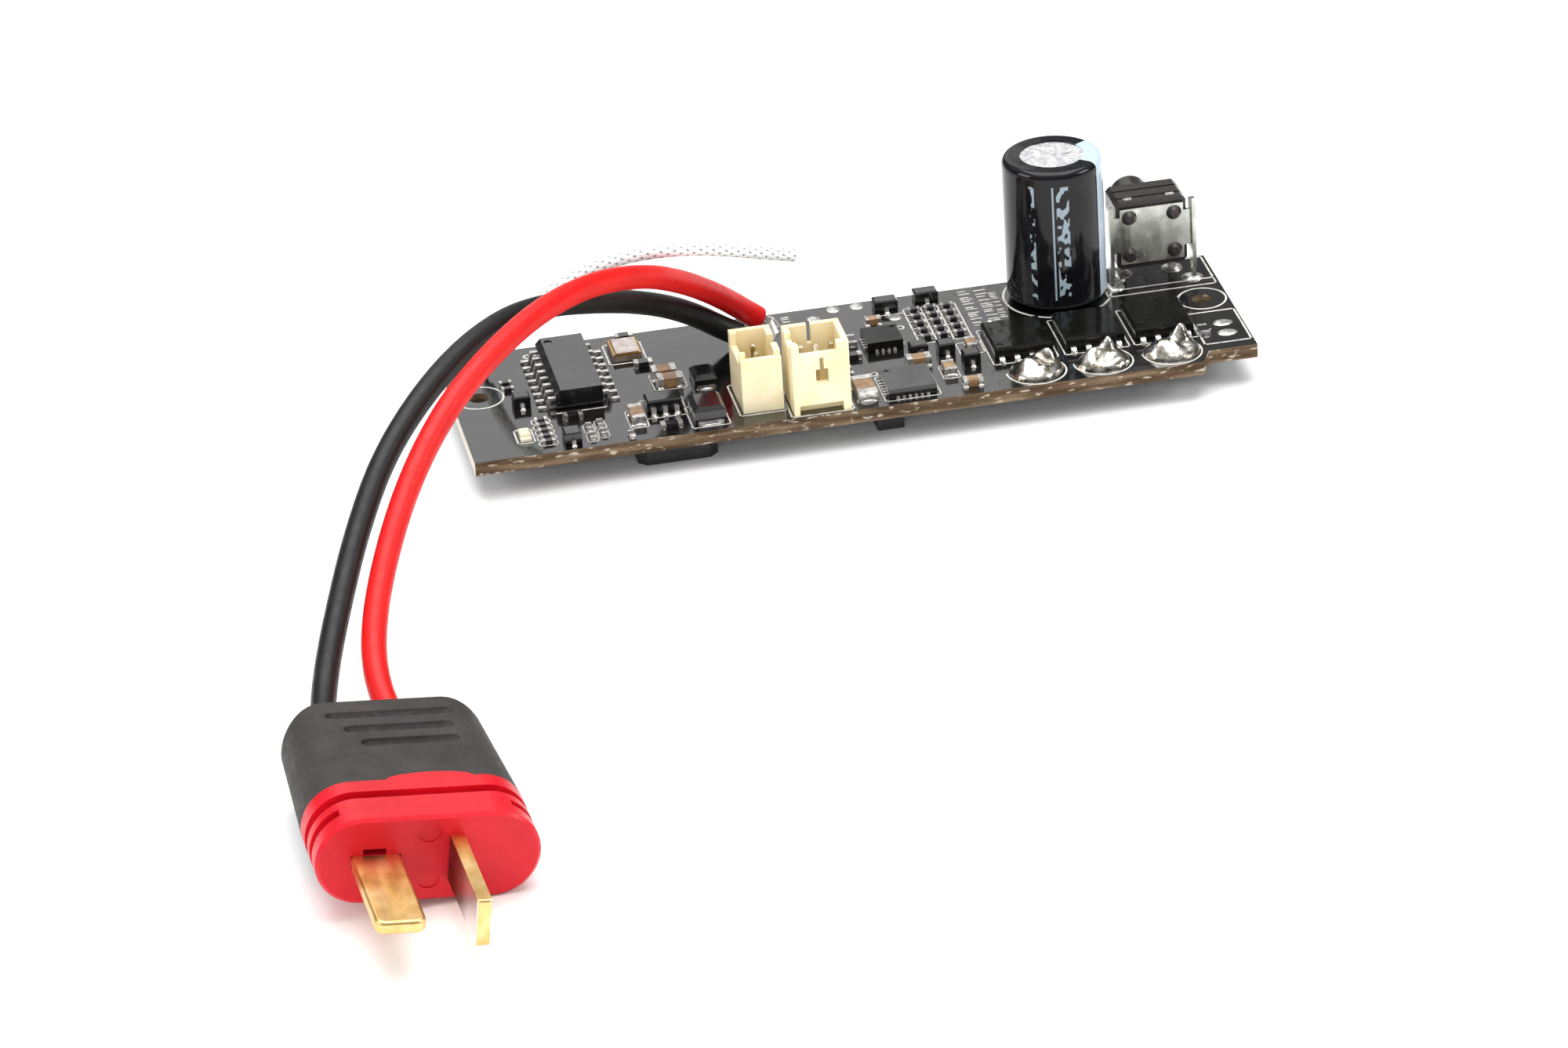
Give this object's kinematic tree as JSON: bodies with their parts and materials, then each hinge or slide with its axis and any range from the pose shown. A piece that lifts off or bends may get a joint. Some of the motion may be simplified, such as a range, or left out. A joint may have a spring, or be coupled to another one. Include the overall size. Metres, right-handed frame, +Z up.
{
  "type": "electronic speed controller",
  "caption": "Brushless speed controller: black circuit board with chips, capacitor, push switch and cream headers, and red and black leads to a T-plug.",
  "frame": {"origin": "on the surface the board stands on, under the middle of the board's length and of its depth with the switch plunger", "axes": "+X along the board from the antenna end to the switch end, +Y from the motor solder pads towards the plunger tip, +Z up out of the component side"},
  "size_m": [0.0871, 0.0968, 0.0194],
  "materials": {
    "board_laminate": "glossy black solder mask over brown glass-epoxy laminate",
    "capacitor_film": "glossy black shrink film with a pale stripe",
    "can_metal": "satin drawn aluminium",
    "bung_rubber": "moulded",
    "tinned_lead": "bright tin plate",
    "switch_plastic": "moulded, fine grain",
    "bracket_steel": "tinned steel sheet",
    "header_nylon": "cream moulded nylon",
    "chip_epoxy": "black moulding compound under clear coating",
    "resistor_film": "glazed resistor film",
    "ceramic_brown": "fired brown dielectric",
    "crystal_ceramic": "dark fired ceramic",
    "crystal_metal": "satin lid with a gilt rim",
    "lamp_resin": "pale translucent resin",
    "inductor_ferrite": "dark grey ferrite",
    "tantalum_resin": "dark moulded resin",
    "solder": "bright tin solder",
    "red_silicone": "soft silicone insulation",
    "black_silicone": "soft silicone insulation",
    "antenna_braid": "silver-white braid under a clear jacket",
    "plug_nylon": "red moulded nylon",
    "grip_rubber": "matt moulded rubber",
    "gilt_blade": "gold-plated brass"
  },
  "bodies": {
    "board": {"circuit_board": "board_laminate", "capacitor_sleeve": "capacitor_film", "capacitor_can": "can_metal", "capacitor_bung": "bung_rubber", "capacitor_leads": "tinned_lead", "main_chip_leads": "tinned_lead", "upper_leads_left": "tinned_lead", "upper_leads_middle": "tinned_lead", "upper_leads_right": "tinned_lead", "lower_transistor_leads": "tinned_lead", "regulator_leads": "tinned_lead", "small_transistor_leads": "tinned_lead", "diode_terminals": "tinned_lead", "switch_terminals": "tinned_lead", "driver_chip_pads": "tinned_lead", "logic_chip_pads": "tinned_lead", "ceramic_capacitor_ends": "tinned_lead", "chip_resistor_ends": "tinned_lead", "tantalum_terminals": "tinned_lead", "two_pin_contacts": "tinned_lead", "three_pin_contacts": "tinned_lead", "switch_body": "switch_plastic", "switch_bracket": "bracket_steel", "switch_dome": "bracket_steel", "two_pin_header": "header_nylon", "three_pin_header": "header_nylon", "main_chip": "chip_epoxy", "driver_chip": "chip_epoxy", "logic_chip": "chip_epoxy", "regulator": "chip_epoxy", "diodes": "chip_epoxy", "small_transistors": "chip_epoxy", "upper_transistor_left": "chip_epoxy", "upper_transistor_middle": "chip_epoxy", "upper_transistor_right": "chip_epoxy", "lower_transistors": "chip_epoxy", "chip_resistors": "resistor_film", "ceramic_capacitors": "ceramic_brown", "crystal_base": "crystal_ceramic", "crystal_lid": "crystal_metal", "status_light": "lamp_resin", "power_inductor": "inductor_ferrite", "tantalum_capacitor": "tantalum_resin", "motor_solder_joints": "solder", "through_hole_solder": "solder", "battery_solder_joints": "solder", "antenna_solder_joint": "solder", "plug_solder": "solder", "red_lead": "red_silicone", "black_lead": "black_silicone", "antenna": "antenna_braid", "plug_body": "plug_nylon", "plug_sleeve": "grip_rubber", "flat_blade": "gilt_blade", "upright_blade": "gilt_blade"},
    "plunger": {"switch_plunger": "switch_plastic"}
  },
  "joints": [
    {"name": "switch_press", "type": "slide", "parent": "board", "child": "plunger", "axis": [0, -1, 0], "range_m": [0, 0.00025], "stiffness_N_per_m": 6000}
  ]
}
